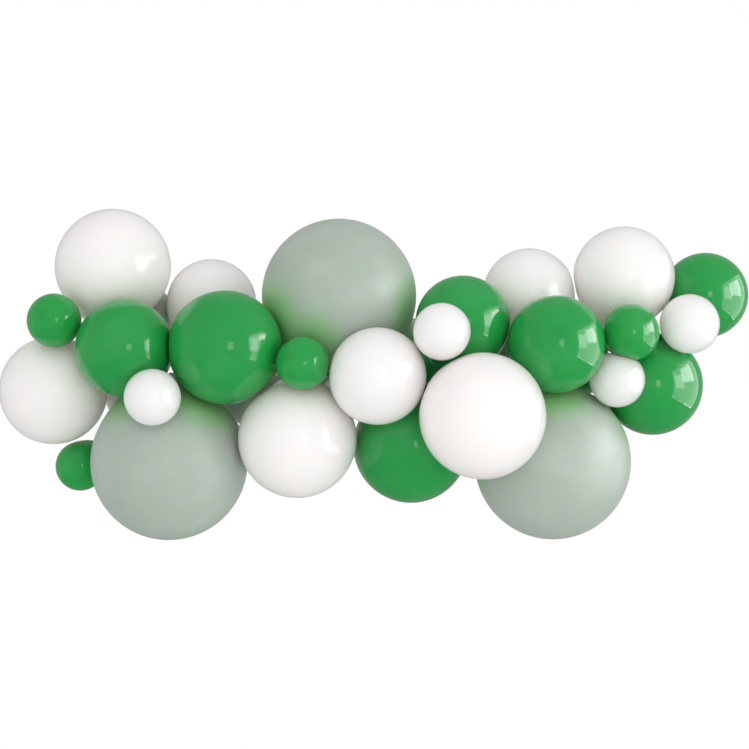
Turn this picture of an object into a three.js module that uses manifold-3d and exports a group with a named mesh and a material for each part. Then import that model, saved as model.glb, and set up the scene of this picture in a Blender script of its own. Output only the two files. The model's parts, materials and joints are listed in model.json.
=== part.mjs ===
// Balloon garland: round latex balloons in white, green and pale sage, tied by their necks
// to a punched strip of clear plastic whose two ends lie flat against a wall.
// Millimetres. +X runs along the garland, +Y goes back to the wall, +Z is up.
import * as THREE from 'three';
import { mergeVertices } from 'three/addons/utils/BufferGeometryUtils.js';
import Module from 'manifold-3d';

// The garland's length from end to end. The places of its balloons and its strip are written
// in thousandths of it, measured from the middle of its length and height.
const garland_length = 1630;
const thousandth = garland_length / 1000;

// Balloon sizes, across the widest part of a balloon that is blown up as usual
const large_diameter = 337;
const regular_diameter = 246;
const medium_diameter = 202;
const small_diameter = 118;

// The neck that every balloon ends in, its knot and its rolled lip
const neck_root_radius = 5;
const neck_radius = 2.6;
const knot_radius = 6.4;
const knot_length = 10;
const tail_length = 15;
const tail_radius = 3.8;
const lip_radius = 8;
const lip_thickness = 3.2;

// The strip, its punched holes and the flat tab at each of its ends
const strip_width = 16;
const strip_thickness = 0.9;
const hole_pitch = 65;
const tab_length = 54;
const hook_hole_radius = 3;
const hook_hole_inset = 12;
const flat_beside_hole = strip_width / 6;

// The clear sticky dots that hold the small balloons which no neck reaches
const dot_radius = 6;
const dot_thickness = 1;

// Clearances
const touching_gap = 0.4;
const neck_clearance = 2.3;
const knot_clearance = 0.4;
const dot_clearance = 0.3;
const glued_press = 4;
const wall_gap = 3;

// What is further from a balloon's middle than this many of its radii doesn't press on it, nor
// does what it faces less than this
const reach_of_interest = 1.4;
const least_facing = 1e-3;

// Corners nearer than this are one corner
const same_corner = 1e-3;

// How far the wall is behind the line that the places are measured from
const wall_depth = 290;

// How a balloon swells: the end at its neck is drawn out and narrowed, in shares of its radius
const drawn_out = 0.2;
const narrowed = 0.2;
const soft_edge = 0.06;
const neck_root_share = 0.6;

const colours = {
  white: { color: 0xf1eeec, roughness: 0.32, metalness: 0 },
  green: { color: 0x2f9a50, roughness: 0.12, metalness: 0 },
  sage: { color: 0xb9cdc2, roughness: 0.5, metalness: 0 },
  strip: { color: 0xeef1f0, roughness: 0.25, metalness: 0 },
  dot: { color: 0xf4f4f0, roughness: 0.3, metalness: 0 },
};

// How finely each size is faceted: how many sides round and rings from crown to neck
const large = { diameter: large_diameter, sides: 17, rings: 10 };
const regular = { diameter: regular_diameter, sides: 16, rings: 8 };
const medium = { diameter: medium_diameter, sides: 14, rings: 7 };
const small = { diameter: small_diameter, sides: 10, rings: 6 };
const behind = { diameter: small_diameter, sides: 8, rings: 5 };
const neck_sides = 5;
const hole_sides = 6;
const dot_sides = 5;

// Where the strip runs, from the left tab's inner end to the right tab's, between the balloons
const wall = wall_depth / thousandth;
const strip_route = [
  [-400, wall, 32],
  [-372, 147, 34],
  [-334, 93, 38],
  [-264, 76, 37],
  [-190, 87, 25],
  [-123, 66, -10],
  [-46, 52, -29],
  [12, 38, -15],
  [67, 44, -13],
  [141, 56, 1],
  [215, 74, 23],
  [288, 76, 39],
  [362, 117, 60],
  [396, 161, 53],
  [424, wall, 47],
];

// The balloons: name, colour, size, how full it is blown, and where its middle is.
// glued_to names the neighbour that a small one is stuck to, and neck_to where its neck then points.
const layout = [
  { name: 'sage_large_left', colour: 'sage', size: large, fill: 1, at: [-271, 56, -115] },
  { name: 'sage_large_top', colour: 'sage', size: large, fill: 0.99, at: [-47, 66, 104] },
  { name: 'sage_large_right', colour: 'sage', size: large, fill: 1, at: [236, 67, -115] },

  { name: 'white_top_left', colour: 'white', size: regular, fill: 1.02, at: [-349, 83, 144] },
  { name: 'white_far_left', colour: 'white', size: regular, fill: 0.95, at: [-427, 76, -21] },
  { name: 'white_low_middle', colour: 'white', size: regular, fill: 1.02, at: [-100, 9, -83] },
  { name: 'white_front', colour: 'white', size: regular, fill: 1.06, at: [136, -63, -52] },
  { name: 'green_middle_left', colour: 'green', size: regular, fill: 0.98, at: [-193, -2, 35] },
  { name: 'green_low_middle', colour: 'green', size: regular, fill: 1.01, at: [48, 52, -93] },

  { name: 'white_back_left', colour: 'white', size: medium, fill: 0.98, at: [-220, 112, 95] },
  { name: 'white_middle', colour: 'white', size: medium, fill: 1, at: [4, -42, -2] },
  { name: 'white_back_right', colour: 'white', size: medium, fill: 1, at: [207, 93, 107] },
  { name: 'white_top_right', colour: 'white', size: medium, fill: 1.09, at: [333, 83, 130] },
  { name: 'green_left', colour: 'green', size: medium, fill: 1.03, at: [-324, 10, 34] },
  { name: 'green_upper_middle', colour: 'green', size: medium, fill: 1, at: [115, 20, 67] },
  { name: 'green_middle_right', colour: 'green', size: medium, fill: 1.02, at: [234, -4, 39] },
  { name: 'green_lower_right', colour: 'green', size: medium, fill: 1.08, at: [372, 90, -14] },
  { name: 'green_far_right', colour: 'green', size: medium, fill: 0.93, at: [447, 117, 107] },

  {
    name: 'white_small_right', colour: 'white', size: small, fill: 1, at: [315, 20, -6],
    glued_to: 'green_middle_right', neck_to: [284, 70, 10],
  },
  {
    name: 'white_small_far_right', colour: 'white', size: small, fill: 1.08, at: [413, 38, 66],
    glued_to: 'green_far_right', neck_to: [412, 103, 49],
  },
  {
    name: 'green_small_right', colour: 'green', size: small, fill: 1.02, at: [333, 18, 58],
    glued_to: 'white_top_right', neck_to: [296, 62, 24],
  },
  {
    name: 'white_small_left', colour: 'white', size: small, fill: 1, at: [-281, -50, -29],
    glued_to: 'sage_large_left', neck_to: [-263, 7, -2],
  },
  {
    name: 'white_small_middle', colour: 'white', size: small, fill: 1, at: [85, -68, 54],
    glued_to: 'green_upper_middle', neck_to: [46, 0, 37],
  },
  {
    name: 'green_small_far_left', colour: 'green', size: small, fill: 0.98, at: [-418, 26, 70],
    glued_to: 'white_far_left', neck_to: [-393, 86, 55],
  },
  {
    name: 'green_small_low_left', colour: 'green', size: small, fill: 0.92, at: [-394, 104, -123],
    glued_to: 'sage_large_left', neck_to: [-362, 132, -67],
  },
  {
    name: 'green_small_middle', colour: 'green', size: small, fill: 0.94, at: [-92, -37, 10],
    glued_to: 'white_low_middle', neck_to: [-55, 13, -2],
  },

  // Balloons behind, which fill the gaps between the ones in front
  { name: 'sage_behind_left', colour: 'sage', size: behind, fill: 1.26, at: [-165, 129, -25] },
  {
    name: 'white_behind_far_left', colour: 'white', size: behind, fill: 1.26, at: [-325, 127, -16],
    glued_to: 'white_far_left', neck_to: [-345, 132, -70],
  },
  {
    name: 'sage_behind_top_left', colour: 'sage', size: behind, fill: 1.05, at: [-297, 138, 84],
    glued_to: 'white_back_left', neck_to: [-290, 150, 0],
  },
  {
    name: 'white_behind_middle', colour: 'white', size: behind, fill: 1.1, at: [-72, 118, -10],
    glued_to: 'sage_large_top', neck_to: [-60, 150, -110],
  },
  {
    name: 'sage_behind_middle', colour: 'sage', size: behind, fill: 0.9, at: [40, 130, 50],
    glued_to: 'sage_large_top', neck_to: [96, 150, 60],
  },
  {
    name: 'green_behind_middle', colour: 'green', size: behind, fill: 1.1, at: [67, 125, -2],
    glued_to: 'green_low_middle', neck_to: [126, 150, -50],
  },
  {
    name: 'sage_behind_right', colour: 'sage', size: behind, fill: 1.05, at: [169, 136, 33],
    glued_to: 'white_back_right', neck_to: [190, 150, -60],
  },
  {
    name: 'green_behind_right', colour: 'green', size: behind, fill: 1.02, at: [297, 136, 8],
    glued_to: 'green_lower_right', neck_to: [242, 147, 4],
  },
];

function place(share) {
  return new THREE.Vector3(...share).multiplyScalar(thousandth);
}

const up = new THREE.Vector3(0, 0, 1);
const back = new THREE.Vector3(0, 1, 0);
const crown_to_neck = new THREE.Vector3(0, -1, 0);

// Joins and cuts of closed meshes
const wasm = await Module();
wasm.setup();

function to_solid(geometry) {
  const plain = geometry.clone();
  plain.deleteAttribute('normal');
  plain.deleteAttribute('uv');
  const merged = mergeVertices(plain, same_corner);
  const mesh = new wasm.Mesh({
    numProp: 3,
    vertProperties: new Float32Array(merged.attributes.position.array),
    triVerts: new Uint32Array(merged.index.array),
  });
  return new wasm.Manifold(mesh);
}

function to_geometry(solid) {
  const mesh = solid.getMesh();
  const geometry = new THREE.BufferGeometry();
  geometry.setAttribute('position', new THREE.BufferAttribute(new Float32Array(mesh.vertProperties), 3));
  geometry.setIndex(new THREE.BufferAttribute(new Uint32Array(mesh.triVerts), 1));
  geometry.computeVertexNormals();
  return geometry;
}

function named_mesh(name, geometry, finish) {
  const mesh = new THREE.Mesh(geometry, new THREE.MeshStandardMaterial(finish));
  mesh.name = name;
  return mesh;
}

// The strip's middle line: a straight tab, the route between the balloons, and a straight tab
const inner_route = new THREE.CatmullRomCurve3(strip_route.map(place));
const inner_length = inner_route.getLength();
const strip_length = inner_length + 2 * tab_length;

function strip_place(station) {
  if (station <= tab_length) {
    const point = inner_route.getPointAt(0);
    point.x -= tab_length - station;
    return { point, tangent: new THREE.Vector3(1, 0, 0) };
  }
  if (station >= strip_length - tab_length) {
    const point = inner_route.getPointAt(1);
    point.x += station - (strip_length - tab_length);
    return { point, tangent: new THREE.Vector3(1, 0, 0) };
  }
  const share = (station - tab_length) / inner_length;
  return { point: inner_route.getPointAt(share), tangent: inner_route.getTangentAt(share) };
}

// The holes that necks can be tied in, evenly punched between the tabs, with a flat length at each
const hole_radius = neck_radius + neck_clearance;
const flat_length = 2 * (hole_radius + flat_beside_hole);
const hole_count = Math.floor((inner_length - hole_pitch) / hole_pitch) + 1;
const first_hole = (strip_length - (hole_count - 1) * hole_pitch) / 2;
const holes = [];
for (let i = 0; i < hole_count; i += 1) {
  const station = first_hole + i * hole_pitch;
  holes.push({ station, ...strip_place(station) });
}

// A balloon's middle. A glued one sits against its neighbour, pressed in a little.
function balloon_radius(entry) {
  return (entry.size.diameter * entry.fill) / 2;
}

function balloon_middle(entry) {
  const wanted = place(entry.at);
  if (!entry.glued_to) {
    return wanted;
  }
  const host = layout.find((other) => other.name === entry.glued_to);
  const host_middle = place(host.at);
  const direction = wanted.sub(host_middle).normalize();
  const distance = balloon_radius(host) + balloon_radius(entry) - glued_press;
  return host_middle.addScaledVector(direction, distance);
}

const balloons = layout.map((entry) => ({
  ...entry,
  middle: balloon_middle(entry),
  radius: balloon_radius(entry),
}));

// Each tied balloon wants the hole nearest to its middle. Where several want one, they share
// out the holes on both sides of it, in their order along the strip.
function nearest_hole(middle) {
  const distances = holes.map((hole) => hole.point.distanceTo(middle));
  return distances.indexOf(Math.min(...distances));
}

function tie_to_holes(tied) {
  const wanted = tied.map((balloon) => nearest_hole(balloon.middle));
  const order = tied.map((balloon, i) => i);
  order.sort((a, b) => wanted[a] - wanted[b] || tied[a].middle.x - tied[b].middle.x);
  const rightwards = [];
  order.forEach((i) => {
    const free = rightwards.length ? rightwards.at(-1) + 1 : 0;
    rightwards.push(Math.max(wanted[i], free));
  });
  const leftwards = [];
  order.toReversed().forEach((i) => {
    const free = leftwards.length ? leftwards[0] - 1 : holes.length - 1;
    leftwards.unshift(Math.min(wanted[i], free));
  });
  order.forEach((i, place) => {
    const hole = holes[Math.floor((rightwards[place] + leftwards[place]) / 2)];
    const neck = hole.point.clone().sub(tied[i].middle);
    tied[i].tie_distance = neck.length();
    tied[i].neck = neck.normalize();
    hole.neck = tied[i].neck;
  });
}

tie_to_holes(balloons.filter((balloon) => !balloon.glued_to));
for (const balloon of balloons.filter((each) => each.glued_to)) {
  balloon.tie_distance = balloon.radius * (1 + drawn_out) + knot_radius;
  balloon.neck = place(balloon.neck_to).sub(balloon.middle).normalize();
}

// How far past the middle of the strip the knot starts, also where the neck comes in at a slant,
// and how far past it the lip ends
const knot_start = strip_thickness / 2 + knot_clearance + knot_radius / 2;
const lip_end = knot_start + knot_length + tail_length + lip_thickness;

// The strip turns so that its flat side faces the neck in each hole
function turn_at(place, facing) {
  const side = new THREE.Vector3().crossVectors(place.tangent, up).normalize();
  const upright = new THREE.Vector3().crossVectors(side, place.tangent);
  return Math.atan2(facing.dot(side), facing.dot(upright));
}

function nearest_half_turn(turn, previous) {
  return turn - Math.PI * Math.round((turn - previous) / Math.PI);
}

const wall_turn = turn_at(strip_place(0), back);
const turns = [{ station: tab_length, turn: wall_turn }];
for (const hole of holes.filter((each) => each.neck)) {
  const turn = nearest_half_turn(turn_at(hole, hole.neck), turns.at(-1).turn);
  turns.push({ station: hole.station, turn });
}
const last_turn = nearest_half_turn(wall_turn, turns.at(-1).turn);
turns.push({ station: strip_length - tab_length, turn: last_turn });

function turn_between(station) {
  const next = Math.max(1, turns.findIndex((each) => each.station >= station));
  const before = turns[next - 1];
  const after = turns[next];
  const share = (station - before.station) / (after.station - before.station);
  return THREE.MathUtils.lerp(before.turn, after.turn, share);
}

// The rings that the strip is made of: its ends, the inner ends of its tabs, the two ends of the
// flat length at each hole, and as many between them as the strip's twist asks for
const twist_per_ring = THREE.MathUtils.degToRad(34);
const band_rings = [{ station: 0, turn: wall_turn }];

function add_rings_to(station, turn) {
  const last = band_rings.at(-1);
  const steps = Math.max(1, Math.ceil(Math.abs(turn - last.turn) / twist_per_ring));
  for (let i = 1; i <= steps; i += 1) {
    band_rings.push({
      station: THREE.MathUtils.lerp(last.station, station, i / steps),
      turn: THREE.MathUtils.lerp(last.turn, turn, i / steps),
    });
  }
}

add_rings_to(tab_length, wall_turn);
for (const hole of holes) {
  hole.turn = turn_between(hole.station);
  add_rings_to(hole.station - flat_length / 2, hole.turn);
  add_rings_to(hole.station + flat_length / 2, hole.turn);
}
add_rings_to(strip_length - tab_length, last_turn);
add_rings_to(strip_length, last_turn);

function strip_frame({ station, turn }) {
  const { point, tangent } = strip_place(station);
  const side = new THREE.Vector3().crossVectors(tangent, up).normalize();
  const upright = new THREE.Vector3().crossVectors(side, tangent);
  const facing = upright.multiplyScalar(Math.cos(turn)).addScaledVector(side, Math.sin(turn));
  const across = new THREE.Vector3().crossVectors(facing, tangent);
  return { point, tangent, facing, across };
}

function drill(ring, radius) {
  const { point, across, facing, tangent } = strip_frame(ring);
  const pin = new THREE.CylinderGeometry(radius, radius, strip_width, hole_sides);
  pin.applyMatrix4(new THREE.Matrix4().makeBasis(across, facing, tangent).setPosition(point));
  return to_solid(pin);
}

// A box splits its upper and its lower side along crossing diagonals. The lower one is split like
// the upper one here, so that the twisted lengths stay as thick as the flat ones.
const lower_side = 3;
const corners_per_panel = 6;

function split_alike(index, side) {
  for (let i = side.start; i < side.start + side.count; i += corners_per_panel) {
    const [a, b, d, , c] = index.array.slice(i, i + corners_per_panel);
    index.set([a, b, c, a, c, d], i);
  }
}

function make_strip() {
  const steps = band_rings.length - 1;
  const band = new THREE.BoxGeometry(strip_width, strip_thickness, steps, 1, 1, steps);
  const position = band.attributes.position;
  for (let i = 0; i < position.count; i += 1) {
    const ring = Math.round(position.getZ(i) + steps / 2);
    const frame = strip_frame(band_rings[ring]);
    const placed = frame.point.clone();
    placed.addScaledVector(frame.across, position.getX(i));
    placed.addScaledVector(frame.facing, position.getY(i));
    position.setXYZ(i, placed.x, placed.y, placed.z);
  }
  split_alike(band.index, band.groups[lower_side]);
  let solid = to_solid(band);
  for (const hole of holes) {
    solid = solid.subtract(drill(hole, hole_radius));
  }
  const left_hook = { station: hook_hole_inset, turn: wall_turn };
  const right_hook = { station: strip_length - hook_hole_inset, turn: last_turn };
  solid = solid.subtract(drill(left_hook, hook_hole_radius));
  solid = solid.subtract(drill(right_hook, hook_hole_radius));
  return named_mesh('hanging_strip', to_geometry(solid), colours.strip);
}

// What presses on a balloon: flat limits, each a direction from its middle and a distance.
// Two balloons meet in the plane between them. A length of strip or neck keeps a balloon off itself.

function nearest_on_length(start, end, point) {
  const nearest = new THREE.Vector3();
  new THREE.Line3(start, end).closestPointToPoint(point, true, nearest);
  return nearest;
}

function limit_from_length(balloon, start, end, thickness) {
  const offset = nearest_on_length(start, end, balloon.middle).sub(balloon.middle);
  const distance = offset.length();
  return { direction: offset.normalize(), distance: distance - thickness - touching_gap };
}

function glued_pair(a, b) {
  return a.glued_to === b.name || b.glued_to === a.name;
}

function limits_of(balloon) {
  const limits = [{ direction: back, distance: wall_depth - wall_gap - balloon.middle.y }];
  for (const other of balloons.filter((each) => each !== balloon)) {
    const offset = other.middle.clone().sub(balloon.middle);
    const apart = offset.length();
    const shared = (apart ** 2 + balloon.radius ** 2 - other.radius ** 2) / (2 * apart);
    const gap = glued_pair(balloon, other) ? dot_thickness + 2 * dot_clearance : touching_gap;
    limits.push({ direction: offset.normalize(), distance: shared - gap / 2 });

    const neck_root = other.middle.clone().addScaledVector(other.neck, other.radius);
    const neck_tip = other.middle.clone().addScaledVector(other.neck, other.tie_distance + lip_end);
    limits.push(limit_from_length(balloon, neck_root, neck_tip, lip_radius));
  }
  for (let i = 1; i < band_rings.length; i += 1) {
    const start = strip_place(band_rings[i - 1].station).point;
    const end = strip_place(band_rings[i].station).point;
    limits.push(limit_from_length(balloon, start, end, strip_width / 2));
  }
  return limits.filter((limit) => limit.distance < balloon.radius * reach_of_interest);
}

// The lesser of two lengths, with the corner between them rounded over a width
function soft_least(a, b, width) {
  const overlap = Math.max(width - Math.abs(a - b), 0);
  return Math.min(a, b) - (overlap * overlap) / (4 * width);
}

// The balloon's outline, a half circle at its crown that is drawn out towards its neck, and the
// body spun from it. The corners stand as far outside the true round form as the middles of the
// flats lie inside it.
function body_outline(true_radius, sides, rings) {
  const radius = (true_radius * 2) / (1 + Math.cos(Math.PI / sides));
  const outline = [];
  for (let i = 0; i <= rings; i += 1) {
    const angle = (Math.PI * i) / rings;
    const below = Math.max(-Math.cos(angle), 0);
    const width = radius * Math.sin(angle) * (1 - narrowed * below ** 4);
    const height = radius * Math.cos(angle) - radius * drawn_out * below ** 4;
    outline.push(new THREE.Vector2(width, height));
  }
  outline[0].x = 0;
  outline[rings].x = 0;
  return outline.reverse();
}

function pressed_body(balloon, turned) {
  const { sides, rings } = balloon.size;
  const outline = body_outline(balloon.radius, sides, rings);
  const body = new THREE.LatheGeometry(outline, sides);
  const unturned = turned.clone().invert();
  const limits = limits_of(balloon).map((limit) => ({
    direction: limit.direction.clone().applyQuaternion(unturned),
    distance: limit.distance,
  }));
  const width = balloon.radius * soft_edge;
  const position = body.attributes.position;
  const point = new THREE.Vector3();
  for (let i = 0; i < position.count; i += 1) {
    point.fromBufferAttribute(position, i);
    let reach = point.length();
    point.normalize();
    for (const limit of limits) {
      const facing = point.dot(limit.direction);
      if (facing > least_facing) {
        reach = soft_least(reach, limit.distance / facing, width);
      }
    }
    point.multiplyScalar(reach);
    position.setXYZ(i, point.x, point.y, point.z);
  }
  return body;
}

// The neck starts inside the body, passes the hole, swells at the knot and ends in the rolled lip
function neck_geometry(balloon) {
  const tie = balloon.tie_distance;
  const knot_at = tie + knot_start;
  const tail_at = knot_at + knot_length;
  const lip_at = tail_at + tail_length;
  const outline = [
    [0, balloon.radius * neck_root_share],
    [neck_root_radius, balloon.radius],
    [neck_radius, knot_at],
    [knot_radius, knot_at + knot_length / 3],
    [tail_radius, tail_at],
    [lip_radius, lip_at],
    [0, lip_at + lip_thickness],
  ].map(([width, along]) => new THREE.Vector2(width, -along));
  return new THREE.LatheGeometry(outline.reverse(), neck_sides);
}

function balloon_mesh(balloon) {
  const turned = new THREE.Quaternion().setFromUnitVectors(crown_to_neck, balloon.neck);
  const body = to_solid(pressed_body(balloon, turned));
  const solid = body.add(to_solid(neck_geometry(balloon)));
  const mesh = named_mesh(balloon.name, to_geometry(solid), colours[balloon.colour]);
  mesh.position.copy(balloon.middle);
  mesh.quaternion.copy(turned);
  return mesh;
}

// A sticky dot lies in the flat place between a glued balloon and its neighbour
function dot_mesh(balloon) {
  const host = balloons.find((other) => other.name === balloon.glued_to);
  const offset = host.middle.clone().sub(balloon.middle);
  const apart = offset.length();
  const shared = (apart ** 2 + balloon.radius ** 2 - host.radius ** 2) / (2 * apart);
  offset.normalize();
  const disc = new THREE.CylinderGeometry(dot_radius, dot_radius, dot_thickness, dot_sides);
  const mesh = named_mesh(`glue_dot_${balloon.name}`, disc, colours.dot);
  mesh.quaternion.setFromUnitVectors(back, offset);
  mesh.position.copy(balloon.middle).addScaledVector(offset, shared);
  return mesh;
}

// The garland, moved so that the back of its left tab, where a hook holds it, is at the origin
const garland = new THREE.Group();
garland.add(make_strip());
for (const balloon of balloons) {
  garland.add(balloon_mesh(balloon));
  if (balloon.glued_to) {
    garland.add(dot_mesh(balloon));
  }
}
const left_tab = strip_place(tab_length / 2).point;
garland.position.set(-left_tab.x, -left_tab.y - strip_thickness / 2, -left_tab.z);

export default garland;
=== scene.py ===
# Balloon garland: round latex balloons in white, glossy green and matt pale sage, tied by their
# necks to a clear punched strip. Metres. +X runs along the garland, +Y goes back to the wall.
import json
import math

import bpy
import numpy as np
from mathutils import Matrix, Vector


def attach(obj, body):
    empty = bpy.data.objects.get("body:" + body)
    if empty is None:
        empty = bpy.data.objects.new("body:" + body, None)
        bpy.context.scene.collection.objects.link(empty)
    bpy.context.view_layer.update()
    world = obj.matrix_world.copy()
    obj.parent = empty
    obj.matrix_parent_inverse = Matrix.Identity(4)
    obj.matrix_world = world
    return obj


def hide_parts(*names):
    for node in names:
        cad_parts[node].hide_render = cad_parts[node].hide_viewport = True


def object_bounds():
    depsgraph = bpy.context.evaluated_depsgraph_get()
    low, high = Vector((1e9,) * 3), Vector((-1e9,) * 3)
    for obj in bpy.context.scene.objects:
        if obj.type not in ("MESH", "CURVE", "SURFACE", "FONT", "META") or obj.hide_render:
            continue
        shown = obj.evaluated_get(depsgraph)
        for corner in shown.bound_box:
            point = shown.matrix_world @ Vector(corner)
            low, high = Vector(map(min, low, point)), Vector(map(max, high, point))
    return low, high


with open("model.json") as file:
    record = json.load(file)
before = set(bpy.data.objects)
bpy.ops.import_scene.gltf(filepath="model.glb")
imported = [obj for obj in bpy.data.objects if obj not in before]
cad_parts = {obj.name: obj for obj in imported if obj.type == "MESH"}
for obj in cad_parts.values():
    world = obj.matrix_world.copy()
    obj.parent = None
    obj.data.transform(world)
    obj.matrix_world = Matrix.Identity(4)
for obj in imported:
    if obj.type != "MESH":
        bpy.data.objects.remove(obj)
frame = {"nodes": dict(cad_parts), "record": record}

cad_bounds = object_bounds()

# The neck that every balloon ends in, from the strip that it is tied in to its rolled lip
KNOT_START = 0.00405
KNOT_LENGTH = 0.010
TAIL_LENGTH = 0.015
LIP_THICKNESS = 0.0032
LIP_END = KNOT_START + KNOT_LENGTH + TAIL_LENGTH + LIP_THICKNESS
LIP_RADIUS = 0.008
NECK_RADIUS = 0.0026
NECK_ROOT_RADIUS = 0.0085
KNOT_RADIUS = 0.0064
TAIL_RADIUS = 0.0038
LIP_MOUTH_RADIUS = LIP_RADIUS / 3

# The neck's curves: how fast it narrows below its root, how round its knot is, how late its tail
# flares, and from where to where its lip is rolled
NECK_TAPER = 2.5
KNOT_ROUNDNESS = 0.7
TAIL_FLARE = 1.6
LIP_ROLL = (-0.35 * math.pi, 1.2 * math.pi)

# Turns round a neck are measured from this direction, which no neck points along
TURNS_FROM = (0.36, 0.48, 0.8)

# How a balloon swells: its end at the neck is drawn out and narrowed, in shares of its radius,
# and the higher the power the nearer to the neck that starts
DRAWN_OUT = 0.2
NARROWED = 0.2
DRAWN_POWER = 4

# How soft the edge of a flat is, in shares of the balloon's radius
SOFT_EDGE = 0.07

# Clearances between balloons, at a glue dot and at the wall
TOUCHING_GAP = 0.0004
GLUED_GAP = 0.0016
WALL_GAP = 0.003
WALL_Y = 0.0

# How far the painted green glow from a green balloon reaches on the skins beside it
GREEN_REACH = 0.08

# How finely a balloon is made: round it, from its crown to its neck's root, and along its neck.
# Its neck's root is looked for in finer steps.
SIDES = 96
BODY_RINGS = 56
OUTLINE_STEPS = 40 * BODY_RINGS
NECK_STEPS = 8
KNOT_STEPS = 7
TAIL_STEPS = 5
LIP_STEPS = 7

# The strip and its punched holes
STRIP_WIDTH = 0.016
STRIP_THICKNESS = 0.0009
STRIP_STEP = 0.004
STRIP_SMOOTHING = 3
HOLE_SIDES = 32
HOLE_APART = 0.02
SHARP_EDGE = math.radians(30)

# What tells measures read from the frame apart, in metres, square metres and radians
READ_EXACT = 2e-5
ON_SPHERE = 2e-5
SIDE_SPACING = 0.05

# What is further from a balloon's middle than this many radii doesn't press on it, nor does what
# it faces less than this
REACH_OF_INTEREST = 1.4
LEAST_FACING = 1e-3
FAR_AWAY = 10.0


# What the frame says of each balloon and of the strip

def node_points(node):
    mesh = frame["nodes"][node].data
    points = np.empty(len(mesh.vertices) * 3)
    mesh.vertices.foreach_get("co", points)
    return np.unique(points.reshape(-1, 3).round(6), axis=0)


def surface_middle(node):
    mesh = frame["nodes"][node].data
    areas = np.empty(len(mesh.polygons))
    centres = np.empty(len(mesh.polygons) * 3)
    mesh.polygons.foreach_get("area", areas)
    mesh.polygons.foreach_get("center", centres)
    return (areas[:, None] * centres.reshape(-1, 3)).sum(axis=0) / areas.sum()


def unit(vector):
    return vector / np.linalg.norm(vector)


def across_axes(neck):
    """Two directions across a neck's direction."""
    first = unit(np.cross(neck, TURNS_FROM))
    return first, np.cross(neck, first)


def count_sides(points, middle, neck, radius):
    """How many sides the faceted body has: its corners stand a little outside the true form."""
    first, second = across_axes(neck)
    offset = points - middle
    turn = np.arctan2(offset @ second, offset @ first)
    body = np.hypot(offset @ second, offset @ first) > radius / 2
    turns = np.sort(turn[body])
    gaps = np.diff(np.append(turns, turns[0] + 2 * math.pi))
    return int((gaps > SIDE_SPACING).sum())


def read_balloon(node):
    """A balloon's middle, radius, neck direction and the distance at which it is tied."""
    points = node_points(node)
    rough_middle = surface_middle(node)
    tip = points[np.argmax(np.linalg.norm(points - rough_middle, axis=1))]
    from_tip = np.linalg.norm(points - tip, axis=1)
    neck = unit(tip - points[from_tip < LIP_END - KNOT_START + NECK_RADIUS].mean(axis=0))

    # The crown's half is a sphere, so its free points lie on a line, and pressed ones under it
    along = (tip - points) @ neck
    crown = along > (tip - rough_middle) @ neck
    x, y = along[crown], from_tip[crown] ** 2
    while True:
        slope, offset = np.polyfit(x, y, 1)
        free = y - (slope * x + offset) > -ON_SPHERE
        if free.all():
            break
        x, y = x[free], y[free]
    length = slope / 2
    corner_radius = math.sqrt(length**2 + offset)
    middle = tip - neck * length
    sides = count_sides(points, middle, neck, corner_radius)
    radius = corner_radius * (1 + math.cos(math.pi / sides)) / 2
    return {"name": node, "middle": middle, "radius": radius, "neck": neck, "tie": length - LIP_END}


def read_strip():
    """The strip's rings, from left to right: their middles and their directions across, and its
    punched holes: their middles and radii."""
    points = node_points("hanging_strip")
    apart = np.linalg.norm(points[:, None] - points[None], axis=2)
    first, second = np.nonzero(np.triu(np.abs(apart - STRIP_THICKNESS) < READ_EXACT))
    middles = (points[first] + points[second]) / 2
    facings = (points[first] - points[second]) / STRIP_THICKNESS
    across = middles[:, None] - middles[None]
    opposite = np.abs(np.linalg.norm(across, axis=2) - STRIP_WIDTH) < READ_EXACT
    opposite &= np.abs(facings @ facings.T) > 1 - LEAST_FACING
    opposite &= np.abs(np.einsum("ijk,ik->ij", across, facings)) < READ_EXACT
    left, right = np.nonzero(np.triu(opposite))
    order = np.argsort(middles[left, 0] + middles[right, 0])
    left, right = left[order], right[order]
    centres = (middles[left] + middles[right]) / 2
    directions = (middles[left] - middles[right]) / STRIP_WIDTH
    for i in range(1, len(directions)):
        if directions[i] @ directions[i - 1] < 0:
            directions[i] *= -1

    round_holes = np.setdiff1d(np.arange(len(middles)), np.concatenate((left, right)))
    rims = middles[round_holes]
    rims = rims[np.argsort(rims[:, 0])]
    holes = []
    for rim in np.split(rims, np.nonzero(np.diff(rims[:, 0]) > HOLE_APART)[0] + 1):
        centre = rim.mean(axis=0)
        holes.append((centre, np.linalg.norm(rim - centre, axis=1).max()))
    return centres, directions, holes


# What presses on a balloon: flat limits, each a direction from its middle and a distance

def limit_from_length(middle, start, end, thickness):
    """The limit that a length of strip or neck sets."""
    run = end - start
    share = np.clip((middle - start) @ run / (run @ run), 0, 1)
    offset = start + share * run - middle
    return unit(offset), np.linalg.norm(offset) - thickness - TOUCHING_GAP


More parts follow.
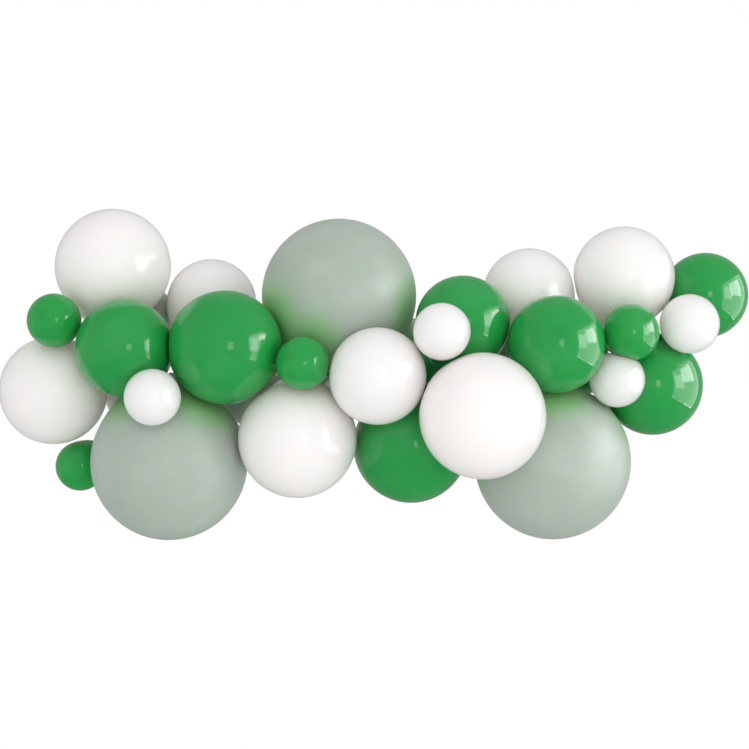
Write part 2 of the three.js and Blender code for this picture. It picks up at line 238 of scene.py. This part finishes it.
def limits_of(balloon, others, strip_line):
    middle, radius = balloon["middle"], balloon["radius"]
    limits = [(np.array((0.0, 1.0, 0.0)), WALL_Y - WALL_GAP - middle[1])]
    for other in others:
        offset = other["middle"] - middle
        apart = np.linalg.norm(offset)
        shared = (apart**2 + radius**2 - other["radius"] ** 2) / (2 * apart)
        glued = other is balloon["glued_to"] or balloon is other["glued_to"]
        gap = GLUED_GAP if glued else TOUCHING_GAP
        limits.append((offset / apart, shared - gap / 2))
        root = other["middle"] + other["neck"] * other["radius"]
        end = other["middle"] + other["neck"] * (other["tie"] + LIP_END)
        limits.append(limit_from_length(middle, root, end, LIP_RADIUS))
    for start, end in zip(strip_line, strip_line[1:]):
        limits.append(limit_from_length(middle, start, end, STRIP_WIDTH / 2))
    return [limit for limit in limits if limit[1] < radius * REACH_OF_INTEREST]


def soft_least(a, b, width):
    overlap = np.maximum(width - np.abs(a - b), 0)
    return np.minimum(a, b) - overlap**2 / (4 * width)


def pressed(directions, reach, limits, radius):
    """How far the skin reaches along each direction from the balloon's middle."""
    for direction, distance in limits:
        facing = np.maximum(directions @ direction, LEAST_FACING)
        reach = soft_least(reach, np.minimum(distance / facing, FAR_AWAY), radius * SOFT_EDGE)
    return reach


# A balloon's outline from its crown to the end of its lip: widths, and distances along

def swollen(radius, angles):
    below = np.maximum(-np.cos(angles), 0) ** DRAWN_POWER
    widths = radius * np.sin(angles) * (1 - NARROWED * below)
    return widths, radius * (DRAWN_OUT * below - np.cos(angles))


def body_outline(radius):
    angles = np.linspace(math.pi / 2, math.pi, OUTLINE_STEPS)
    widths, _ = swollen(radius, angles)
    return swollen(radius, np.linspace(0, angles[widths < NECK_ROOT_RADIUS][0], BODY_RINGS + 1))


def neck_outline(start, tie):
    """From the body's end at start, through the strip at tie, to the middle of the lip's end."""
    knot = tie + KNOT_START
    tail = knot + KNOT_LENGTH
    lip = tail + TAIL_LENGTH
    roll = LIP_THICKNESS / 2
    rows = []
    for t in np.linspace(0, 1, NECK_STEPS + 1)[1:]:
        flare = (NECK_ROOT_RADIUS - NECK_RADIUS) * (1 - t) ** NECK_TAPER
        rows.append((NECK_RADIUS + flare, start + (knot - start) * t))
    for t in np.linspace(0, 1, KNOT_STEPS + 1)[1:]:
        level = NECK_RADIUS + (TAIL_RADIUS - NECK_RADIUS) * t
        bulge = (KNOT_RADIUS - (NECK_RADIUS + TAIL_RADIUS) / 2) * math.sin(math.pi * t) ** KNOT_ROUNDNESS
        rows.append((level + bulge, knot + KNOT_LENGTH * t))
    for t in np.linspace(0, 1, TAIL_STEPS + 1)[1:]:
        flare = (LIP_RADIUS - 2 * roll - TAIL_RADIUS) * t**TAIL_FLARE
        rows.append((TAIL_RADIUS + flare, tail + TAIL_LENGTH * t))
    for turn in np.linspace(*LIP_ROLL, LIP_STEPS):
        rows.append((LIP_RADIUS - roll + roll * math.sin(turn), lip + roll - roll * math.cos(turn)))
    rows.append((LIP_MOUTH_RADIUS, lip + roll))
    return np.array(rows)


def nearness_to_green(points, others):
    """1 where the skin touches a green balloon, falling to 0 at GREEN_REACH from it: the mask of the
    painted green glow.
    """
    nearness = np.zeros(len(points))
    for other in others:
        if slots[other["name"]] == "green_latex":
            away = np.linalg.norm(points - other["middle"], axis=1) - other["radius"]
            nearness = np.maximum(nearness, 1 - np.clip(away / GREEN_REACH, 0, 1))
    return nearness


def balloon_piece(balloon, others, strip_line):
    """A balloon's skin: body, neck, knot and rolled lip, spun round its neck's direction."""
    radius, neck = balloon["radius"], balloon["neck"]
    limits = limits_of(balloon, others, strip_line)
    body_width, body_along = body_outline(radius)
    end_along = pressed(neck[None], np.array([body_along[-1]]), limits, radius)[0]
    rows = neck_outline(end_along, balloon["tie"])
    widths = np.concatenate((body_width, rows[:, 0], [0.0]))
    alongs = np.concatenate((body_along, rows[:, 1], [rows[-1, 1]]))
    rings = len(widths) - 1

    bpy.ops.object.select_all(action="DESELECT")
    bpy.ops.mesh.primitive_uv_sphere_add(segments=SIDES, ring_count=rings, radius=1)
    piece = bpy.context.object
    mesh = piece.data
    points = np.empty(len(mesh.vertices) * 3)
    mesh.vertices.foreach_get("co", points)
    points = points.reshape(-1, 3)
    ring = np.rint(np.arccos(np.clip(points[:, 2], -1, 1)) / math.pi * rings).astype(int)
    turn = np.arctan2(points[:, 1], points[:, 0])

    first, second = across_axes(neck)
    across = first * np.cos(turn)[:, None] - second * np.sin(turn)[:, None]
    offset = across * widths[ring][:, None] + neck * alongs[ring][:, None]
    body = ring <= BODY_RINGS
    reach = np.linalg.norm(offset[body], axis=1)
    directions = offset[body] / reach[:, None]
    offset[body] = directions * pressed(directions, reach, limits, radius)[:, None]
    skin = balloon["middle"] + offset
    mesh.vertices.foreach_set("co", skin.ravel())

    # 0 at the crown, 1 at the neck's root and 2 at the lip's end
    from_crown = mesh.attributes.new("from_crown", "FLOAT", "POINT")
    on_neck = 1 + (ring - BODY_RINGS) / (rings - BODY_RINGS)
    from_crown.data.foreach_set("value", np.where(body, ring / BODY_RINGS, on_neck))
    # How near each point is to a green balloon, for the painted green glow
    near_green = mesh.attributes.new("near_green", "FLOAT", "POINT")
    near_green.data.foreach_set("value", nearness_to_green(skin, others))
    mesh.update()
    bpy.ops.object.shade_smooth()
    piece.name = balloon["name"] + "_skin"
    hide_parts(balloon["name"])
    return piece


# The strip: a flat band with round holes punched through, then bent and twisted along its rings

def strip_frames(centres, directions):
    """Stations a step apart, with the strip's middle, direction across and facing at each."""
    stations = np.append(0, np.cumsum(np.linalg.norm(np.diff(centres, axis=0), axis=1)))
    count = int(stations[-1] / STRIP_STEP)
    fine = np.linspace(0, stations[-1], count + 1)
    middle = np.column_stack([np.interp(fine, stations, axis) for axis in centres.T])
    across = np.column_stack([np.interp(fine, stations, axis) for axis in directions.T])
    weights = np.ones(2 * STRIP_SMOOTHING + 1) / (2 * STRIP_SMOOTHING + 1)
    inner = slice(STRIP_SMOOTHING, -STRIP_SMOOTHING)
    for rows in (middle, across):
        for axis in rows.T:
            axis[inner] = np.convolve(axis, weights, mode="valid")
    along = np.gradient(middle, axis=0)
    along /= np.linalg.norm(along, axis=1)[:, None]
    across -= along * np.einsum("ij,ij->i", along, across)[:, None]
    across /= np.linalg.norm(across, axis=1)[:, None]
    return fine, middle, across, np.cross(along, across)


def punched_band(length, steps, holes):
    """A flat band along +X with its holes punched."""
    bpy.ops.object.select_all(action="DESELECT")
    bpy.ops.mesh.primitive_grid_add(x_subdivisions=steps, y_subdivisions=2, size=1)
    band = bpy.context.object
    bpy.ops.object.mode_set(mode="EDIT")
    bpy.ops.transform.resize(value=(length, STRIP_WIDTH, 1))
    bpy.ops.transform.translate(value=(length / 2, 0, -STRIP_THICKNESS / 2))
    bpy.ops.mesh.extrude_region_move(TRANSFORM_OT_translate={"value": (0, 0, STRIP_THICKNESS)})
    bpy.ops.mesh.select_all(action="SELECT")
    bpy.ops.mesh.normals_make_consistent(inside=False)
    bpy.ops.object.mode_set(mode="OBJECT")

    punches = []
    for station, radius in holes:
        bpy.ops.mesh.primitive_cylinder_add(
            vertices=HOLE_SIDES, radius=radius, depth=STRIP_WIDTH, location=(station, 0, 0))
        punches.append(bpy.context.object)
    bpy.ops.object.select_all(action="DESELECT")
    for punch in punches:
        punch.select_set(True)
    bpy.context.view_layer.objects.active = punches[0]
    bpy.ops.object.join()
    punch = bpy.context.object

    bpy.context.view_layer.objects.active = band
    cut = band.modifiers.new("punched", "BOOLEAN")
    cut.operation = "DIFFERENCE"
    cut.solver = "EXACT"
    cut.object = punch
    bpy.ops.object.modifier_apply(modifier=cut.name)
    bpy.data.objects.remove(punch)
    return band


def strip_piece():
    centres, directions, holes = read_strip()
    stations, middle, across, facing = strip_frames(centres, directions)
    places = []
    for centre, radius in holes:
        nearest = np.argmin(np.linalg.norm(middle - centre, axis=1))
        past = (centre - middle[nearest]) @ np.cross(across[nearest], facing[nearest])
        places.append((stations[nearest] + past, radius))
    band = punched_band(stations[-1], len(stations) - 1, places)

    mesh = band.data
    points = np.empty(len(mesh.vertices) * 3)
    mesh.vertices.foreach_get("co", points)
    x, y, z = points.reshape(-1, 3).T

    def at(rows):
        return np.column_stack([np.interp(x, stations, axis) for axis in rows.T])

    placed = at(middle) + at(across) * y[:, None] + at(facing) * z[:, None]
    mesh.vertices.foreach_set("co", placed.ravel())
    mesh.update()
    bpy.ops.object.select_all(action="DESELECT")
    band.select_set(True)
    bpy.ops.object.mode_set(mode="EDIT")
    bpy.ops.mesh.select_all(action="SELECT")
    bpy.ops.mesh.normals_make_consistent(inside=False)
    bpy.ops.object.mode_set(mode="OBJECT")
    bpy.ops.object.shade_smooth_by_angle(angle=SHARP_EDGE)
    band.name = "hanging_strip_band"
    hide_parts("hanging_strip")
    return band


# Materials: node groups for effects that several materials use, then the materials

LATEX_IOR = 1.52
PLASTIC_IOR = 1.45


def new_group(name, inputs, outputs):
    """A shader node group with its input and output nodes."""
    group = bpy.data.node_groups.new(name, "ShaderNodeTree")
    for direction, sockets in (("INPUT", inputs), ("OUTPUT", outputs)):
        for socket_name, kind in sockets:
            socket_type = "NodeSocket" + kind
            group.interface.new_socket(name=socket_name, in_out=direction, socket_type=socket_type)
    return group, group.nodes.new("NodeGroupInput"), group.nodes.new("NodeGroupOutput")


def noise(tree, scale, detail, roughness=0.5):
    """Noise over the piece's own space. The scale is a number or the socket that gives it."""
    place = tree.nodes.new("ShaderNodeTexCoord")
    texture = tree.nodes.new("ShaderNodeTexNoise")
    texture.inputs["Detail"].default_value = detail
    texture.inputs["Roughness"].default_value = roughness
    tree.links.new(place.outputs["Object"], texture.inputs["Vector"])
    set_or_link(tree, texture.inputs["Scale"], scale)
    return texture.outputs["Fac"]


def set_or_link(tree, socket, value):
    if isinstance(value, bpy.types.NodeSocket):
        tree.links.new(value, socket)
    else:
        socket.default_value = value


def math_node(tree, operation, *values):
    node = tree.nodes.new("ShaderNodeMath")
    node.operation = operation
    for socket, value in zip(node.inputs, values):
        set_or_link(tree, socket, value)
    return node.outputs[0]


def smooth_step(tree, value, start, end):
    node = tree.nodes.new("ShaderNodeMapRange")
    node.interpolation_type = "SMOOTHSTEP"
    node.inputs["From Min"].default_value = start
    node.inputs["From Max"].default_value = end
    tree.links.new(value, node.inputs["Value"])
    return node.outputs["Result"]


def mixed_colour(tree, share, first, second):
    node = tree.nodes.new("ShaderNodeMix")
    node.data_type = "RGBA"
    set_or_link(tree, node.inputs["Factor"], share)
    set_or_link(tree, node.inputs["A"], first)
    set_or_link(tree, node.inputs["B"], second)
    return node.outputs["Result"]


def latex_group():
    """Stretched latex: paler where it is thin, deeper at the crown's spot and the neck, with a painted
    green glow near its green neighbours, soft clouds, a fine grain and a bloom of powder."""
    group, given, result = new_group(
        "stretched_latex",
        [("From Crown", "Float"), ("Near Green", "Float"), ("Thin Color", "Color"),
         ("Thick Color", "Color"), ("Painted Glow Color", "Color"), ("Painted Glow Strength", "Float"),
         ("Cloud Scale", "Float"), ("Cloud Strength", "Float"), ("Roughness", "Float"),
         ("Roughness Spread", "Float"), ("Bloom Color", "Color"), ("Bloom", "Float")],
        [("Color", "Color"), ("Roughness", "Float"), ("Height", "Float")])
    link = group.links.new
    spot_strength = 0.2
    from_crown = given.outputs["From Crown"]
    crown = math_node(group, "SUBTRACT", 1.0, smooth_step(group, from_crown, start=0.0, end=0.14))
    crown_spot = math_node(group, "MULTIPLY", crown, spot_strength)
    neck = smooth_step(group, from_crown, start=0.72, end=1.1)
    thick = math_node(group, "MAXIMUM", crown_spot, neck)

    cloud = noise(group, scale=given.outputs["Cloud Scale"], detail=3.0)
    clouds = math_node(group, "SUBTRACT", cloud, 0.5)
    cloudy = math_node(group, "MULTIPLY", clouds, given.outputs["Cloud Strength"])
    share = math_node(group, "ADD", thick, cloudy)
    share.node.use_clamp = True
    tone = mixed_colour(group, share, given.outputs["Thin Color"], given.outputs["Thick Color"])

    # Painted light: a green glow painted on the skin near green neighbours, in place of the light they
    # throw through the latex
    nearness = smooth_step(group, given.outputs["Near Green"], start=0.0, end=1.0)
    painted_glow_share = math_node(group, "MULTIPLY", nearness, given.outputs["Painted Glow Strength"])
    tone = mixed_colour(group, painted_glow_share, tone, given.outputs["Painted Glow Color"])

    powder = smooth_step(group, noise(group, scale=14.0, detail=3.0, roughness=0.55), start=0.4, end=0.8)
    bloom = math_node(group, "MULTIPLY", powder, given.outputs["Bloom"])
    link(mixed_colour(group, bloom, tone, given.outputs["Bloom Color"]), result.inputs["Color"])

    dulled_by_bloom = 0.4
    spots = noise(group, scale=9.0, detail=4.0)
    spread = math_node(group, "MULTIPLY", spots, given.outputs["Roughness Spread"])
    dulled = math_node(group, "MULTIPLY", bloom, dulled_by_bloom)
    rough = math_node(group, "ADD", given.outputs["Roughness"], math_node(group, "ADD", spread, dulled))
    link(rough, result.inputs["Roughness"])

    grain_height = 0.02
    waves = noise(group, scale=16.0, detail=2.0)
    grain = math_node(group, "MULTIPLY", noise(group, scale=700.0, detail=3.0), grain_height)
    link(math_node(group, "ADD", waves, grain), result.inputs["Height"])
    return group


def handled_plastic_group():
    """Clear plastic that has been handled: hazy clouds, and fine scratches along it."""
    group, given, result = new_group(
        "handled_plastic",
        [("Clear Color", "Color"), ("Hazy Color", "Color"), ("Haze", "Float"), ("Roughness", "Float")],
        [("Color", "Color"), ("Roughness", "Float"), ("Height", "Float")])
    link = group.links.new
    clouds = smooth_step(group, noise(group, scale=35.0, detail=5.0), start=0.4, end=0.75)
    haze = math_node(group, "MULTIPLY", clouds, given.outputs["Haze"])
    colour = mixed_colour(group, haze, given.outputs["Clear Color"], given.outputs["Hazy Color"])
    link(colour, result.inputs["Color"])

    # The scratches run along the strip, which runs along X
    scratch_scale = (30, 900, 900)
    place = group.nodes.new("ShaderNodeTexCoord")
    stretched = group.nodes.new("ShaderNodeMapping")
    stretched.inputs["Scale"].default_value = scratch_scale
    scratches = group.nodes.new("ShaderNodeTexNoise")
    scratches.inputs["Scale"].default_value = 1.0
    link(place.outputs["Object"], stretched.inputs["Vector"])
    link(stretched.outputs["Vector"], scratches.inputs["Vector"])
    fine = smooth_step(group, scratches.outputs["Fac"], start=0.6, end=0.75)

    dulled_by_haze = 0.3
    dulled_by_scratches = 0.2
    hazy = math_node(group, "MULTIPLY", haze, dulled_by_haze)
    scratched = math_node(group, "MULTIPLY", fine, dulled_by_scratches)
    rough = math_node(group, "ADD", given.outputs["Roughness"], hazy)
    link(math_node(group, "ADD", rough, scratched), result.inputs["Roughness"])
    link(fine, result.inputs["Height"])
    return group


def new_material(name, group, values, bump_distance, bump_strength):
    """A material whose colour, roughness and bump come from a node group with its own values."""
    material = bpy.data.materials.new(name)
    material.use_nodes = True
    tree = material.node_tree
    shader = tree.nodes["Principled BSDF"]
    surface = tree.nodes.new("ShaderNodeGroup")
    surface.node_tree = group
    for socket_name, value in values.items():
        surface.inputs[socket_name].default_value = value
    bump = tree.nodes.new("ShaderNodeBump")
    bump.inputs["Distance"].default_value = bump_distance
    bump.inputs["Strength"].default_value = bump_strength
    tree.links.new(surface.outputs["Color"], shader.inputs["Base Color"])
    tree.links.new(surface.outputs["Roughness"], shader.inputs["Roughness"])
    tree.links.new(surface.outputs["Height"], bump.inputs["Height"])
    tree.links.new(bump.outputs["Normal"], shader.inputs["Normal"])
    return material, tree, shader, surface


def latex_material(name, glow, glow_depth, values):
    """Latex lets light in: glow is how much of it, and glow_depth how far each colour goes."""
    material, tree, shader, surface = new_material(
        name, latex, values, bump_distance=0.0006, bump_strength=0.12)
    for socket_name, attribute_name in (("From Crown", "from_crown"), ("Near Green", "near_green")):
        attribute = tree.nodes.new("ShaderNodeAttribute")
        attribute.attribute_name = attribute_name
        tree.links.new(attribute.outputs["Fac"], surface.inputs[socket_name])
    shader.inputs["Subsurface Weight"].default_value = glow
    shader.inputs["Subsurface Radius"].default_value = glow_depth
    shader.inputs["Subsurface Scale"].default_value = 1.0
    shader.inputs["IOR"].default_value = LATEX_IOR
    return material


def clear_material(name, transmission, values):
    material, _, shader, _ = new_material(
        name, handled_plastic, values, bump_distance=0.0001, bump_strength=0.3)
    shader.inputs["Transmission Weight"].default_value = transmission
    shader.inputs["IOR"].default_value = PLASTIC_IOR
    return material


latex = latex_group()
handled_plastic = handled_plastic_group()
materials = {
    "white_latex": latex_material("white_latex", glow=1.0, glow_depth=(0.13, 0.12, 0.115), values={
        "Thin Color": (0.945, 0.875, 0.865, 1),
        "Thick Color": (0.90, 0.82, 0.78, 1),
        # Painted green glow near green neighbours
        "Painted Glow Color": (0.62, 0.90, 0.62, 1),
        "Painted Glow Strength": 0.15,
        "Cloud Scale": 5.0,
        "Cloud Strength": 0.4,
        "Roughness": 0.15,
        "Roughness Spread": 0.05,
        "Bloom Color": (0.94, 0.94, 0.94, 1),
        "Bloom": 0.08,
    }),
    "green_latex": latex_material("green_latex", glow=0.8, glow_depth=(0.008, 0.08, 0.015), values={
        "Thin Color": (0.018, 0.335, 0.072, 1),
        # Painted green glow near green neighbours
        "Thick Color": (0.004, 0.20, 0.035, 1),
        "Painted Glow Color": (0.03, 0.40, 0.06, 1),
        "Painted Glow Strength": 0.2,
        "Cloud Scale": 4.0,
        "Cloud Strength": 0.6,
        "Roughness": 0.06,
        "Roughness Spread": 0.05,
        "Bloom Color": (0.3, 0.6, 0.35, 1),
        "Bloom": 0.06,
    }),
    "sage_latex": latex_material("sage_latex", glow=0.85, glow_depth=(0.03, 0.08, 0.035), values={
        "Thin Color": (0.44, 0.505, 0.45, 1),
        "Thick Color": (0.29, 0.43, 0.26, 1),
        # Painted green glow near green neighbours
        "Painted Glow Color": (0.23, 0.59, 0.17, 1),
        "Painted Glow Strength": 0.85,
        "Cloud Scale": 3.0,
        "Cloud Strength": 0.5,
        "Roughness": 0.38,
        "Roughness Spread": 0.08,
        "Bloom Color": (0.7, 0.75, 0.72, 1),
        "Bloom": 0.14,
    }),
    "clear_plastic_strip": clear_material("clear_plastic_strip", transmission=0.7, values={
        "Clear Color": (0.93, 0.95, 0.94, 1),
        "Hazy Color": (0.82, 0.85, 0.84, 1),
        "Haze": 0.6,
        "Roughness": 0.12,
    }),
    "clear_glue_dot": clear_material("clear_glue_dot", transmission=0.6, values={
        "Clear Color": (0.95, 0.95, 0.9, 1),
        "Hazy Color": (0.85, 0.85, 0.78, 1),
        "Haze": 0.8,
        "Roughness": 0.3,
    }),
}


# The garland's pieces

slots = {row["node"]: row["material_slot"] for row in frame["record"]["subparts"]}
dot_names = [name for name in slots if name.startswith("glue_dot_")]
balloons = [read_balloon(name) for name in slots if slots[name].endswith("_latex")]


def others_of(balloon):
    return [other for other in balloons if other is not balloon]


def find_glued_to(balloon):
    """The neighbour that a balloon's glue dot touches."""
    if "glue_dot_" + balloon["name"] not in dot_names:
        return None
    dot = surface_middle("glue_dot_" + balloon["name"])

    def past_skin(other):
        return np.linalg.norm(dot - other["middle"]) - other["radius"]

    return min(others_of(balloon), key=past_skin)


for balloon in balloons:
    balloon["glued_to"] = find_glued_to(balloon)
strip_line = read_strip()[0]
pieces = {}
for balloon in balloons:
    pieces[balloon["name"]] = balloon_piece(balloon, others_of(balloon), strip_line)
pieces["hanging_strip"] = strip_piece()
for name, piece in pieces.items():
    piece.data.name = piece.name
    piece.data.materials.clear()
    piece.data.materials.append(materials[slots[name]])
    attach(piece, "root")
for name in dot_names:
    for material_slot in frame["nodes"][name].material_slots:
        material_slot.material = materials[slots[name]]


# The room: a pale floor, soft lights and a camera. The lights and the camera face MIDDLE.

MIDDLE = Vector((0.679, -0.29045, -0.05216))
FLOOR_BELOW = 1.1
FLOOR_RADIUS = 3.2
FLOOR_SIDES = 96
CAMERA_DISTANCE = 4.0
CAMERA_LENS = 91.34
CAMERA_SENSOR = 36


def pale_floor():
    bpy.ops.object.select_all(action="DESELECT")
    bpy.ops.mesh.primitive_circle_add(
        vertices=FLOOR_SIDES, radius=FLOOR_RADIUS, fill_type="NGON",
        location=(MIDDLE.x, MIDDLE.y, cad_bounds[0][2] - FLOOR_BELOW))
    floor = bpy.context.object
    floor.name = "floor"
    material = bpy.data.materials.new("pale_floor")
    material.use_nodes = True
    tree = material.node_tree
    shader = tree.nodes["Principled BSDF"]
    tone = smooth_step(tree, noise(tree, scale=3.0, detail=4.0), start=0.2, end=0.8)
    colour = mixed_colour(tree, tone, (0.86, 0.86, 0.85, 1), (0.90, 0.90, 0.89, 1))
    tree.links.new(colour, shader.inputs["Base Color"])
    shader.inputs["Roughness"].default_value = 0.7

    # In the balloons' reflections the floor is darker
    dimmer = tree.nodes.new("ShaderNodeBsdfDiffuse")
    dimmer.inputs["Color"].default_value = (0.3, 0.3, 0.3, 1)
    path = tree.nodes.new("ShaderNodeLightPath")
    mix = tree.nodes.new("ShaderNodeMixShader")
    tree.links.new(path.outputs["Is Glossy Ray"], mix.inputs[0])
    tree.links.new(shader.outputs[0], mix.inputs[1])
    tree.links.new(dimmer.outputs[0], mix.inputs[2])
    tree.links.new(mix.outputs[0], tree.nodes["Material Output"].inputs["Surface"])
    floor.data.materials.append(material)


def area_light(name, azimuth, elevation, distance, width, height, radiance,
               in_reflections=True, on_surfaces=True):
    """A rectangle of light that faces the middle, with azimuth 0 at the right and 90 in front."""
    turn, rise = math.radians(azimuth), math.radians(elevation)
    flat = math.cos(rise)
    towards = Vector((math.cos(turn) * flat, -math.sin(turn) * flat, math.sin(rise)))
    light = bpy.data.lights.new(name, "AREA")
    light.shape = "RECTANGLE"
    light.size = width
    light.size_y = height
    light.energy = radiance * math.pi * width * height
    lamp = bpy.data.objects.new(name, light)
    lamp.location = MIDDLE + towards * distance
    lamp.rotation_euler = towards.to_track_quat("Z", "Y").to_euler()
    lamp.visible_glossy = in_reflections
    lamp.visible_diffuse = on_surfaces
    bpy.context.scene.collection.objects.link(lamp)


def white_room():
    """Even light from all round. Seen by itself it is white, and in reflections it is dimmer."""
    world = bpy.data.worlds.new("white_room")
    bpy.context.scene.world = world
    world.use_nodes = True
    tree = world.node_tree
    strengths = {"around": 0.74, "reflected": 0.42, "seen": 1.0}
    shaders = {}
    for name, strength in strengths.items():
        shaders[name] = tree.nodes.new("ShaderNodeBackground")
        shaders[name].inputs["Color"].default_value = (1, 1, 1, 1)
        shaders[name].inputs["Strength"].default_value = strength
    path = tree.nodes.new("ShaderNodeLightPath")
    mixed = shaders["around"].outputs[0]
    for ray, name in (("Is Glossy Ray", "reflected"), ("Is Camera Ray", "seen")):
        mix = tree.nodes.new("ShaderNodeMixShader")
        tree.links.new(path.outputs[ray], mix.inputs[0])
        tree.links.new(mixed, mix.inputs[1])
        tree.links.new(shaders[name].outputs[0], mix.inputs[2])
        mixed = mix.outputs[0]
    tree.links.new(mixed, tree.nodes["World Output"].inputs["Surface"])


def photo_camera():
    data = bpy.data.cameras.new("camera")
    data.lens = CAMERA_LENS
    data.sensor_width = CAMERA_SENSOR
    camera = bpy.data.objects.new("camera", data)
    camera.location = MIDDLE - Vector((0, CAMERA_DISTANCE, 0))
    camera.rotation_euler = (math.pi / 2, 0, 0)
    bpy.context.scene.collection.objects.link(camera)
    bpy.context.scene.camera = camera


pale_floor()
area_light("front_fill", azimuth=90, elevation=5, distance=5.0, width=4.0, height=4.0, radiance=1.3,
           in_reflections=False)
area_light("front_window", azimuth=28, elevation=6, distance=5.0, width=1.9, height=2.1, radiance=3.2)
area_light("far_window", azimuth=78, elevation=3, distance=5.0, width=1.0, height=1.3, radiance=2.2)
area_light("side_window", azimuth=3, elevation=13, distance=2.4, width=1.1, height=0.8, radiance=5.5,
           on_surfaces=False)
area_light("pale_side_wall", azimuth=6, elevation=2, distance=2.2, width=2.6, height=2.05, radiance=2.3,
           on_surfaces=False)
area_light("side_glow", azimuth=6, elevation=2, distance=2.2, width=2.6, height=2.05, radiance=1.2,
           in_reflections=False)
area_light("window_sill", azimuth=6, elevation=-24, distance=2.4, width=2.6, height=0.03, radiance=12.0,
           on_surfaces=False)
white_room()
photo_camera()
bpy.context.scene.view_settings.view_transform = "Standard"
